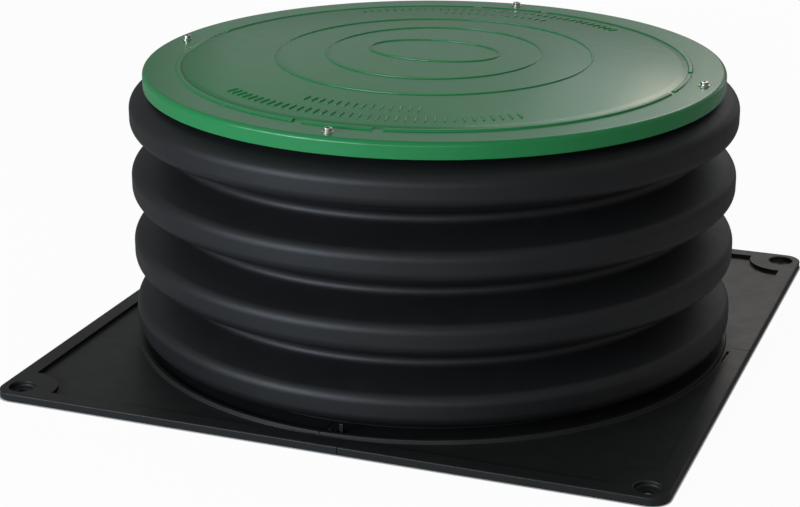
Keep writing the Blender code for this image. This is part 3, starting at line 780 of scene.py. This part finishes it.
@dataclass
class Lid:
    """Domed lid with a flat ledge, skirt, plug, raised beads, plain grip bars and screw holes."""

    radius: float = 0.3363
    edge: float = 0.3260
    underside: float = 0.3225
    rise: float = 0.0158
    skirt: float = 0.016
    skirt_wall: float = 0.004
    lip: float = 0.0006
    dome_reach: float = 0.2830
    dome_steps: int = 40
    ledge: float = 0.3285
    ledge_inner: float = 0.2990
    run_steps: int = 12
    edge_radius: float = 0.005
    edge_steps: int = 10
    wall: float = 0.0045
    plug: float = 0.297
    plug_wall: float = 0.004
    plug_depth: float = 0.024
    rings: Point = (0.1245, 0.183)
    bead_width: float = 0.003
    bead_height: float = 0.0012
    bead_lean: float = 0.35
    bead_round: float = 0.6
    bead_flare: float = 0.0005
    bead_clearance: float = 0.001
    bead_sink: float = 0.0004
    oval_half: Point = (0.0775, 0.049)
    oval_steps: int = 96
    rim_bead: float = 0.296
    rim_bead_feet: Point = (0.2915, 0.2984)
    rim_bead_crest: Point = (0.2930, 0.2970)
    rim_bead_top: float = 0.3304
    rim_bead_rounds: Point = (0.0008, 0.0012)
    rim_break: float = 0.045
    rim_gap: float = 0.0115
    bar_rows: tuple[BarRow, ...] = (
        BarRow(0.264, 1.6, 38.0, 0.013),
        BarRow(0.232, 0.0, 16.0, 0.012),
    )
    bar_pitch: float = 0.010
    bar_width: float = 0.0026
    screw_radius: float = 0.318
    screw_hole: float = 0.0027
    boss_radius: float = 0.006
    boss_foot: float = 0.31155
    rib_count: int = 8
    rib_wall: float = 0.003
    rib_depth: float = 0.014
    hub_radius: float = 0.040

    @property
    def screw_places(self) -> list[Point]:
        """Places of the four screws."""
        return circle(self.screw_radius, 4)

    def top(self, radius: float) -> float:
        """Return the top's height at a radius: the dome, then a soft run down to the ledge."""
        dome = self.edge + self.rise * (1 - (radius / self.radius) ** 2)
        share = (radius - self.dome_reach) / (self.ledge_inner - self.dome_reach)
        share = min(max(share, 0.0), 1.0)
        return dome + (self.ledge - dome) * share**2 * (3 - 2 * share)

    def bead_section(self, width: float, height: float) -> list[Point]:
        """Return a bead's section with a round top and soft feet.

        Args:
            width: Width of the bead at its feet.
            height: Height of the bead.

        Returns:
            Points of (offset, rise) from one foot to the other, feet included.
        """
        foot, flare = -width / 2, self.bead_flare
        corners = [(foot - flare, 0.0), (foot + flare / 2, 0.0)]
        corners.append((foot + height * self.bead_lean, height))
        corners += [(-x, z) for x, z in reversed(corners)]
        top = height * self.bead_round
        return filleted(corners, [flare, top, top, flare], 4)

    def section(self) -> list[Point]:
        """Return the closed section, from the centre of the top over the rim and back below."""
        rises = [(self.radius * step / self.dome_steps, 0.0) for step in range(self.dome_steps)]
        for ring in self.rings:
            bead = self.bead_section(self.bead_width, self.bead_height)
            reach = -bead[0][0] + self.bead_clearance
            rises = [(r, z) for r, z in rises if abs(r - ring) > reach]
            rises += [(ring + offset, rise) for offset, rise in bead]
        end = self.dome_reach - 0.002
        top = [(r, self.top(r) + z) for r, z in sorted(rises) if r < end]
        # The dome runs down to the flat ledge of the screws, and a round edge leads to the skirt.
        run, steps = self.ledge_inner - self.dome_reach, self.run_steps
        radii = [self.dome_reach + run * step / steps for step in range(steps + 1)]
        top += [(r, self.top(r)) for r in radii]
        centre = (self.radius - self.edge_radius, self.ledge - self.edge_radius)
        top += arc(centre, self.edge_radius, QUARTER, 0.0, self.edge_steps)
        lip = self.lip
        foot = self.edge - self.skirt
        bore = self.radius - self.skirt_wall
        plug_foot = self.underside - self.plug_depth
        plug_bore = self.plug - self.plug_wall
        under = [
            (self.radius, foot + lip),
            (self.radius - lip, foot),
            (bore + lip, foot),
            (bore, foot + lip),
            (bore, self.underside),
            (self.plug, self.underside),
            (self.plug, plug_foot + lip),
            (self.plug - lip, plug_foot),
            (plug_bore + lip, plug_foot),
            (plug_bore, plug_foot + lip),
        ]
        for step in range(12, -1, -1):
            radius = plug_bore * step / 12
            under.append((radius, self.top(radius) - self.wall))
        return top + under

    def rooted(self, line: Sequence[Point]) -> list[Point]:
        """Close a bead's line of (offset, rise) with two points below the lid's top."""
        return [(line[0][0], -OVERLAP), *line, (line[-1][0], -OVERLAP)]

    def sunk_section(self, width: float, height: float) -> list[Point]:
        """Return a bead's closed section, sunk by a hair to cross the dome at a clear angle."""
        sink = self.bead_sink
        line = self.bead_section(width, height + sink)
        return self.rooted([(offset, rise - sink) for offset, rise in line])

    def rim_section(self) -> list[Point]:
        """Return the rim bead's closed section as (offset, rise)."""
        inner, outer = [(foot, self.top(foot) - self.bead_sink) for foot in self.rim_bead_feet]
        crests = [(crest, self.rim_bead_top) for crest in self.rim_bead_crest]
        line = filleted([inner, *crests, outer], self.rim_bead_rounds, 4)
        return self.rooted([(r - self.rim_bead, z - self.top(r)) for r, z in line])

    def swept_bead(self, name: str, path: Sequence[tuple[float, float, float]],
                   section: Sequence[Point], closed: bool = False) -> Object:
        """Sweep a bead along a path on the lid.

        Args:
            name: Name of the new piece.
            path: Points of (x, y, angle of the normal).
            section: Closed section of (offset, rise above the lid's top).
            closed: Whether the path is a closed loop.

        Returns:
            The closed bead, sunk a little into the lid.
        """

        def placed(x: float, y: float, angle: float, offset: float, rise: float) -> Vector:
            """Return the place of one point of the section at one point of the path."""
            x, y = x + offset * math.cos(angle), y + offset * math.sin(angle)
            return Vector((x, y, self.top(math.hypot(x, y)) + rise))

        bead = ring_on(name, [placed(*path[0], *point) for point in section])
        edit_all(bead)
        if not closed:
            bpy.ops.mesh.edge_face_add()
        for _ in path[1:]:
            step_up = {"value": (0.0, 0.0, 0.001)}
            bpy.ops.mesh.extrude_region_move(TRANSFORM_OT_translate=step_up)
        close_edit()
        # Each extrusion adds one ring of points, which is then laid at its own place on the dome.
        count = len(section)
        for index, vertex in enumerate(bead.data.vertices):
            step, point = divmod(index, count)
            vertex.co = placed(*path[step], *section[point])
        if closed:
            edit_all(bead)
            bpy.ops.mesh.select_all(action="DESELECT")
            close_edit()
            for index, vertex in enumerate(bead.data.vertices):
                vertex.select = index // count in (0, len(path) - 1)
            bpy.ops.object.mode_set(mode="EDIT")
            bpy.ops.mesh.bridge_edge_loops()
            close_edit()
        return tidy_shell(bead)

    def rim_beads(self) -> list[Object]:
        """Return the beads of the broken ring near the rim."""
        radius = self.rim_bead
        middle, half = self.rim_break / radius, self.rim_gap / radius / 2
        short, start = middle - half, middle + half
        beads = []
        for index in range(4):
            turn = index * QUARTER
            for first, last, steps in ((-short, short, 12), (start, QUARTER - start, 40)):
                low, high = turn + first, turn + last
                angles = [low + (high - low) * step / steps for step in range(steps + 1)]
                path = [(radius * math.cos(a), radius * math.sin(a), a) for a in angles]
                beads.append(self.swept_bead("rim_bead", path, self.rim_section()))
        return beads

    def oval_bead(self) -> Object:
        """Return the oval bead at the middle."""
        long, short = self.oval_half
        path = []
        for x, y in circle(1.0, self.oval_steps):
            path.append((long * x, short * y, math.atan2(y / short, x / long)))
        section = self.sunk_section(self.bead_width, self.bead_height)
        return self.swept_bead("oval_bead", path, section, True)

    def grip_bars(self) -> list[Object]:
        """Return the short grip bars that stand in rows near the front and the back."""
        section = self.sunk_section(self.bar_width, self.bead_height)
        bars = []
        for middle in (-QUARTER, QUARTER):
            for row in self.bar_rows:
                count = round(2 * math.radians(row.spread) * row.radius / self.bar_pitch)
                radii = (row.radius - row.length / 2, row.radius, row.radius + row.length / 2)
                for index in range(count + 1):
                    a = middle + math.radians(row.aside + row.spread * (2 * index / count - 1))
                    path = [(r * math.cos(a), r * math.sin(a), a + QUARTER) for r in radii]
                    bars.append(self.swept_bead("grip_bar", path, section))
        return bars

    def under_ribs(self) -> Object:
        """Return the ribs and the hub under the dome as one tool."""
        foot = self.top(self.plug - self.plug_wall) - self.wall - self.rib_depth
        near, far = self.hub_radius - self.rib_wall / 2, self.plug - self.plug_wall / 2
        radii = [near + (far - near) * step / 8 for step in range(9)]
        outline = [(near, foot), (far, foot)]
        outline += [(radius, self.top(radius) - self.wall / 2) for radius in reversed(radii)]
        places = [Vector((radius, -self.rib_wall / 2, height)) for radius, height in outline]
        rib = extruded("under_rib", places, (0.0, self.rib_wall, 0.0))
        turns = [math.tau * (index + 0.5) / self.rib_count for index in range(self.rib_count)]
        ribs = [copied(rib, "under_rib", turn) for turn in turns]
        bpy.data.objects.remove(rib)
        head = self.top(self.hub_radius) - self.wall / 2
        hub = rectangle((self.hub_radius - self.rib_wall, foot), (self.hub_radius, head))
        return combine(joined("under_ribs", ribs), Cut.JOIN, turned("hub", hub, 64))

    def build(self) -> None:
        """Model the lid."""
        lid = turned("domed_lid", self.section())
        combine(lid, Cut.JOIN, self.under_ribs())
        places, low = self.screw_places, self.boss_foot
        bosses = posts("bosses", places, self.boss_radius, 32, low, self.underside + OVERLAP)
        combine(lid, Cut.JOIN, bosses)
        for beads in (self.rim_beads(), [self.oval_bead()], self.grip_bars()):
            combine(lid, Cut.JOIN, joined("beads", beads))
        holes = posts("holes", places, self.screw_hole, 24, low - OVERRUN, self.edge + OVERRUN)
        combine(lid, Cut.REMOVE, holes)
        smoothed(lid, 30.0)
        dress(lid, LID_PLASTIC.material(), "lid")


@dataclass
class LidScrews:
    """Flanged socket screws that hold the lid down."""

    places: list[Point]
    seat: float
    flange_radius: float = 0.0065
    flange: float = 0.0011
    flange_edge: float = 0.0003
    head_radius: float = 0.0046
    head: float = 0.005
    chamfer: float = 0.0008
    shank: float = 0.0024
    length: float = 0.034
    point: float = 0.005
    hexagon: float = 0.004
    socket: float = 0.0025
    turn_between: float = 0.7

    def build(self) -> None:
        """Model one screw and copy it to each place."""
        seat, top, chamfer = self.seat, self.seat + self.head, self.chamfer
        section = [
            (0.0, seat - self.length),
            (self.shank, seat - self.length + self.point),
            (self.shank, seat),
            (self.flange_radius, seat),
            (self.flange_radius, seat + self.flange * 0.6),
            (self.flange_radius - self.flange_edge, seat + self.flange),
            (self.head_radius, seat + self.flange),
            (self.head_radius, top - chamfer),
            (self.head_radius - chamfer * 0.3, top - chamfer * 0.3),
            (self.head_radius - chamfer, top),
            (0.0, top),
        ]
        screw = turned("lid_screw_fine", section, 48)
        outline = circle(self.hexagon / 2 / math.cos(math.pi / 6), 6)
        combine(screw, Cut.REMOVE, prism("socket", outline, top - self.socket, top + OVERRUN))
        smoothed(screw, 32.0)
        material = TumbledSteel().material()
        for index, place in enumerate(self.places):
            node = f"lid_screw_{index + 1}"
            copy = moved(copied(screw, f"fine_{node}", index * self.turn_between), place)
            dress(copy, material, node)
        bpy.data.objects.remove(screw)


@dataclass
class Base:
    """Square base of four latched quadrants: a sunk field, a ring rib, a collar, corner wells."""

    half: float = 0.381
    height: float = 0.009
    corner: float = 0.021
    top_edge: float = 0.0015
    foot_edge: float = 0.0004
    border: float = 0.0195
    field: float = 0.0045
    field_round: float = 0.0009
    pad: float = 0.0395
    well_inset: float = 0.024
    well_radius: float = 0.0145
    well_depth: float = 0.006
    well_rim: float = 0.0018
    well_corner: float = 0.0022
    anchor_radius: float = 0.005
    rib_foot: float = 0.3525
    rib_root: float = 0.0008
    rib_draft: float = 0.001
    rib_top_width: float = 0.005
    rib_edge: float = 0.0006
    collar: float = 0.2985
    collar_wall: float = 0.004
    collar_height: float = 0.046
    collar_lead: float = 0.003
    collar_edge: float = 0.0004
    seam: float = 0.0009
    jog: float = 0.032
    slot: float = 0.003
    slot_radius: float = 0.3543
    tongue_length: float = 0.030
    tongue_width: float = 0.024
    tongue_thickness: float = 0.002
    tongue_radius: float = 0.334
    tongue_gap: float = 0.0003
    window_length: float = 0.010
    window_width: float = 0.0095
    tab_offset: float = 0.0185
    tab_length: float = 0.004
    tab_width: float = 0.0045
    tab_height: float = 0.014
    tab_edge: float = 0.0009
    stud_offset: float = 0.0055
    stud_radius: float = 0.002
    stud_height: float = 0.0012
    stud_edge: float = 0.0006

    @property
    def well_middle(self) -> float:
        """Distance of a corner well's centre from the middle lines."""
        return self.half - self.well_inset

    def slab(self) -> Object:
        """Return the square slab with its round corners and soft edges."""
        clear_selection()
        bpy.ops.mesh.primitive_cube_add(
            size=1.0,
            location=(0.0, 0.0, self.height / 2),
            scale=(2 * self.half, 2 * self.half, self.height),
        )
        slab = bpy.context.active_object
        slab.name = "slab"
        apply_place()
        bevel_where(slab, self.corner, 12, lambda a, b: abs(a.z - b.z) > self.height / 2)
        bevel_where(slab, self.top_edge, 4, at_top(self.height))
        bevel_where(slab, self.foot_edge, 1, at_foot(0.0))
        return tidy_shell(slab)

    def recess(self) -> Object:
        """Return the tool that sinks the field between the border and the corner pads."""
        middle = self.well_middle
        aside = self.half - self.border - middle
        reach = math.sqrt(self.pad**2 - aside**2)
        start = math.atan2(-reach, aside)
        corner = arc((middle, middle), self.pad, start, -1.5 * math.pi - start, 24)
        outline: list[Point] = []
        for _ in range(4):
            outline += corner
            corner = quarter_turned(corner)
        tool = prism("recess", outline, self.field, self.height + OVERRUN)
        return bevel_where(tool, self.field_round, 2, at_foot(self.field))

    def rib_section(self) -> list[Point]:
        """Return the closed section of the rib that rings the pipe."""
        top_out = self.rib_foot - self.rib_draft
        top_in = top_out - self.rib_top_width
        corners = [
            (self.rib_foot + 0.001, self.field),
            (self.rib_foot, self.field),
            (top_out, self.height),
            (top_in, self.height),
            (top_in, self.field),
        ]
        line = filleted(corners, [self.rib_root, self.rib_edge, self.rib_edge], 4)
        low = self.field - OVERLAP
        return [(line[0][0], low)] + line[:-1] + [(top_in, low)]

    def collar_section(self) -> list[Point]:
        """Return the closed section of the collar that centres the pipe."""
        bore = self.collar - self.collar_wall
        top, lead, edge = self.collar_height, self.collar_lead, self.collar_edge
        return [
            (self.collar, 0.0),
            (self.collar, top - lead),
            (self.collar - lead / 2, top),
            (bore + edge, top),
            (bore, top - edge),
            (bore, 0.0),
        ]

    def plate(self) -> Object:
        """Return the whole base before the seams divide it."""
        plate = self.slab()
        combine(plate, Cut.REMOVE, self.recess())
        hole = rectangle((0.0, -OVERRUN), (self.collar - self.collar_wall / 2, self.collar_height))
        combine(plate, Cut.REMOVE, turned("hole", hole))
        combine(plate, Cut.JOIN, turned("rib", self.rib_section()))
        return combine(plate, Cut.JOIN, turned("collar", self.collar_section()))

    def seam_line(self, side: int) -> list[Point]:
        """Return the front seam's line, from inside the opening out past the edge.

        Args:
            side: 1 for the near face of the seam, -1 for the far one.

        Returns:
            The points of the line.
        """
        offset = side * self.seam / 2
        jog_radius = self.slot_radius if side > 0 else self.slot_radius + self.slot
        return [
            (offset, OVERRUN - self.collar + self.collar_wall),
            (offset, -jog_radius),
            (self.jog + offset, -jog_radius),
            (self.jog + offset, -self.half - OVERRUN),
        ]

    def well(self, place: Point) -> Object:
        """Return the tool that sinks a round well with a soft rim and a soft corner at a place."""
        floor, head = self.height - self.well_depth, self.height + OVERRUN
        wall, rim = self.well_radius, self.well_rim
        corners = [(0.0, floor), (wall, floor), (wall, self.height), (wall + 2 * rim, self.height)]
        section = filleted(corners, [self.well_corner, rim], 5)[:-1]
        return moved(turned("well", section + [(wall + rim, head), (0.0, head)], 64), place)

    def add_latch(self, plate: Object) -> None:
        """Add the latch: the window over the neighbour's tongue, and the tongue with its tab."""
        middle, half, gap = -self.tongue_radius, self.tongue_width / 2, self.tongue_gap
        far = (self.tongue_length + gap, middle + half + gap)
        pocket = rectangle((-OVERRUN, middle - half - gap), far)
        height = self.tongue_thickness + gap
        combine(plate, Cut.REMOVE, prism("pocket", pocket, -OVERRUN, height))
        at_tab = (self.tab_offset, middle)
        window = rectangle_about(at_tab, self.window_length, self.window_width)
        combine(plate, Cut.REMOVE, prism("window", window, -OVERRUN, self.height))
        tongue = rectangle((-OVERRUN, middle - half), (self.tongue_length, middle + half))
        thickness = self.tongue_thickness
        combine(plate, Cut.JOIN, prism("tongue", quarter_turned(tongue), 0.0, thickness))
        outline = quarter_turned(rectangle_about(at_tab, self.tab_length, self.tab_width))
        tab = prism("tab", outline, thickness - OVERLAP, self.tab_height)
        combine(plate, Cut.JOIN, bevel_where(tab, self.tab_edge, 3, at_top(self.tab_height)))
        top = self.field + self.stud_height
        outline = circle(self.stud_radius, 24, (self.stud_offset, middle))
        stud = prism("stud", outline, self.field - OVERLAP, top)
        combine(plate, Cut.JOIN, bevel_where(stud, self.stud_edge, 3, at_top(top)))

    def quadrant(self) -> Object:
        """Return the front right quadrant with its latch, well and holes."""
        plate = self.plate()
        outer = [(self.half + OVERRUN, -self.half - OVERRUN)]
        outline = self.seam_line(1) + outer + quarter_turned(self.seam_line(-1))[::-1]
        share = prism("share", outline, -OVERRUN, self.collar_height + OVERRUN)
        combine(plate, Cut.KEEP_COMMON, share)
        self.add_latch(plate)
        place = (self.well_middle, -self.well_middle)
        combine(plate, Cut.REMOVE, self.well(place))
        anchor = posts("anchor", [place], self.anchor_radius, 32, -OVERRUN, self.height)
        combine(plate, Cut.REMOVE, anchor)
        return combine(plate, Cut.REMOVE, collar_holes(self.collar, (6, 7)))

    def build(self) -> None:
        """Model one quadrant and copy it round, four in all."""
        first = smoothed(self.quadrant(), 34.0)
        material = BASE_PLASTIC.material()
        for index in range(4):
            copy = copied(first, f"fine_quadrant_{index + 1}", index * QUARTER)
            dress(copy, material, f"base_quadrant_{index + 1}")
        bpy.data.objects.remove(first)


@dataclass
class Seals:
    """Rubber seal under the pipe and foam gasket on top of it."""

    inner: float = 0.30025
    seal_outer: float = 0.3127
    seal_low: float = 0.0048
    seal_high: float = 0.0060
    seal_edge: float = 0.0004
    gasket_outer: float = 0.3057
    gasket_low: float = 0.3196
    gasket_high: float = 0.3222

    def build(self) -> None:
        """Model both rings."""
        outer, edge = self.seal_outer, self.seal_edge
        section = [
            (self.inner, self.seal_low),
            (outer - edge, self.seal_low),
            (outer, self.seal_low + edge),
            (outer, self.seal_high - edge),
            (outer - edge, self.seal_high),
            (self.inner, self.seal_high),
        ]
        seal = smoothed(turned("butyl_seal", section), 50.0)
        dress(seal, SEAL_RUBBER.material(), "base_seal")
        section = rectangle((self.inner, self.gasket_low), (self.gasket_outer, self.gasket_high))
        gasket = smoothed(turned("foam_gasket", section), 50.0)
        dress(gasket, GASKET_FOAM.material(), "lid_gasket")


def dress_collar_screws() -> None:
    """Give the collar screws inside the pipe, which keep their CAD solids, their steel."""
    steel = TumbledSteel(name="tumbled_stainless_collar_screw").material()
    for index in range(COLLAR_SCREWS):
        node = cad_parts[f"collar_screw_{index + 1}"]
        node.data.materials.clear()
        node.data.materials.append(steel)
        LOG.info("%s: steel", node.name)


# Studio


@dataclass(frozen=True)
class Lamp:
    """A soft rectangular lamp that faces the object.

    The azimuth is its direction from the object in degrees from +X and the elevation its height
    over the horizon in degrees. The size is its width and height, the power is in watts and the
    colour is in sRGB hex.
    """

    name: str
    azimuth: float
    elevation: float
    distance: float
    size: Point
    power: float
    colour: str
    target: tuple[float, float, float] = (0.0, 0.0, 0.17)

    def add(self) -> None:
        """Add the lamp to the scene."""
        data = bpy.data.lights.new(self.name, "AREA")
        data.shape = "RECTANGLE"
        data.size, data.size_y = self.size
        data.energy = self.power
        data.color = linear(self.colour)[:3]
        lamp = bpy.data.objects.new(self.name, data)
        bpy.context.scene.collection.objects.link(lamp)
        a, e = math.radians(self.azimuth), math.radians(self.elevation)
        way = Vector((math.cos(a) * math.cos(e), math.sin(a) * math.cos(e), math.sin(e)))
        lamp.location = Vector(self.target) + way * self.distance
        lamp.rotation_euler = way.to_track_quat("Z", "Y").to_euler()


LAMPS = (
    Lamp("front_softbox", -110.0, 12.0, 2.6, (1.3, 0.3), 20.0, "#dceeff"),
    Lamp("left_front_softbox", -130.0, 15.0, 2.6, (1.3, 0.7), 15.5, "#ecf6ff"),
    Lamp("right_front_fill", -75.0, 8.0, 3.0, (2.0, 0.8), 7.2, "#fff2e8"),
    Lamp("back_window", 91.5, 27.0, 3.0, (0.45, 0.6), 2.2, "#fff1de"),
    Lamp("back_panel", 90.0, 26.5, 3.02, (1.2, 0.84), 1.6, "#f6f9ff"),
    Lamp("back_wall", 94.0, 22.5, 3.04, (3.2, 1.3), 3.1, "#f6fbff"),
    Lamp("back_top_strip", 97.0, 38.0, 3.0, (0.8, 0.12), 1.8, "#fbfdff"),
    Lamp("right_edge_strip", 70.0, 6.0, 3.0, (0.3, 0.42), 0.6, "#f6f8ff"),
)


@dataclass
class Studio:
    """Pale floor, soft lamps, graded world and the camera at the photograph's angle."""

    camera_place: tuple[float, float, float] = (0.75304, -2.09655, 0.88092)
    camera_right: tuple[float, float, float] = (0.935073, 0.354454, -0.000473)
    camera_up: tuple[float, float, float] = (-0.117910, 0.312311, 0.942634)
    camera_ahead: tuple[float, float, float] = (-0.334268, 0.881376, -0.333828)
    lens_mm: float = 88.63
    sensor_mm: float = 36.0
    white: str = "#ffffff"
    floor_colour: str = "#c8c8c8"
    floor_radius: float = 6.0
    floor_height: float = -0.0005
    shade_reach: float = 0.003
    room_shades: tuple[tuple[float, str], ...] = (
        (0.0, "#6a6a6a"),
        (0.12, "#757575"),
        (0.4, "#7e7e7e"),
        (1.0, "#888888"),
    )

    def add_camera(self) -> None:
        """Add the camera from its place and its three directions."""
        data = bpy.data.cameras.new("camera")
        data.lens = self.lens_mm
        data.sensor_width = self.sensor_mm
        data.clip_end = 50.0
        camera = bpy.data.objects.new("camera", data)
        bpy.context.scene.collection.objects.link(camera)
        columns = (self.camera_right, self.camera_up, [-value for value in self.camera_ahead])
        turn = Matrix(columns).transposed().to_4x4()
        camera.matrix_world = Matrix.Translation(self.camera_place) @ turn
        bpy.context.scene.camera = camera

    def add_floor(self) -> None:
        """Add the pale floor, which shows white to the camera, keeps the object's shadow and has a
        painted contact shade close to it.
        """
        clear_selection()
        bpy.ops.mesh.primitive_circle_add(
            vertices=64,
            radius=self.floor_radius,
            fill_type="NGON",
            location=(0.0, 0.0, self.floor_height),
        )
        floor = bpy.context.active_object
        floor.name = "floor"
        apply_place()
        material, tree, shader = new_material("matt_paper_floor")
        shader.inputs["Roughness"].default_value = 0.95
        shader.inputs["Specular IOR Level"].default_value = 0.0
        white = linear(self.white)
        glow = add_node(tree, "ShaderNodeEmission", {}, {"Color": white, "Strength": 1.0})
        seen = add_node(tree, "ShaderNodeLightPath", {}, {}).outputs["Is Camera Ray"]
        paper = blended(tree, seen, linear(self.floor_colour), white)
        tree.links.new(paper, shader.inputs["Base Color"])
        # The glow fades out close to and under the object by an occlusion mask, a painted contact
        # shade; inside it the paper shows its own shade from the lamps.
        reach = {"Distance": self.shade_reach}
        near = add_node(tree, "ShaderNodeAmbientOcclusion", {"samples": 16}, reach)
        glow_share_past_contact_shade = ranged(tree, near.outputs["AO"], (0.72, 0.92), (0.0, 0.96))
        times = {"operation": "MULTIPLY"}
        share = add_node(tree, "ShaderNodeMath", times, {0: seen, 1: glow_share_past_contact_shade}).outputs[0]
        inputs = {0: share, 1: shader.outputs[0], 2: glow.outputs[0]}
        mixed = add_node(tree, "ShaderNodeMixShader", {}, inputs)
        tree.links.new(mixed.outputs[0], tree.nodes["Material Output"].inputs["Surface"])
        floor.data.materials.append(material)

    def grade_world(self) -> None:
        """Light the room softly from all sides, and show it white to the camera."""
        world = bpy.data.worlds.new("studio_room")
        bpy.context.scene.world = world
        world.use_nodes = True
        tree = world.node_tree
        place = add_node(tree, "ShaderNodeTexCoord", {}, {}).outputs["Generated"]
        split = add_node(tree, "ShaderNodeSeparateXYZ", {}, {"Vector": place})
        ramp = add_node(tree, "ShaderNodeValToRGB", {}, {"Fac": split.outputs["Z"]})
        stops = ramp.color_ramp.elements
        first, *between, last = self.room_shades
        stops[0].position, stops[0].color = first[0], linear(first[1])
        stops[1].position, stops[1].color = last[0], linear(last[1])
        for position, shade in between:
            stops.new(position).color = linear(shade)
        rays = add_node(tree, "ShaderNodeLightPath", {}, {})
        inputs = {0: rays.outputs["Is Camera Ray"], 1: rays.outputs["Is Transmission Ray"]}
        shown = add_node(tree, "ShaderNodeMath", {"operation": "MAXIMUM"}, inputs).outputs[0]
        colour = blended(tree, shown, ramp.outputs["Color"], linear(self.white))
        tree.links.new(colour, tree.nodes["Background"].inputs["Color"])

    def build(self) -> None:
        """Set up the camera, the lamps, the floor, the world and the colour view."""
        self.add_camera()
        for lamp in LAMPS:
            lamp.add()
        self.add_floor()
        self.grade_world()
        bpy.context.scene.view_settings.view_transform = "Standard"


def main() -> None:
    """Build the studio and the pieces."""
    logging.basicConfig(level=logging.INFO, format="%(name)s: %(message)s")
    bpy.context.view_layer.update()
    Studio().build()
    lid = Lid()
    LidScrews(lid.screw_places, lid.ledge).build()
    CorrugatedPipe().build(lid.screw_places)
    Base().build()
    Seals().build()
    dress_collar_screws()
    lid.build()
    bpy.context.view_layer.update()


if __name__ == "__main__":
    main()
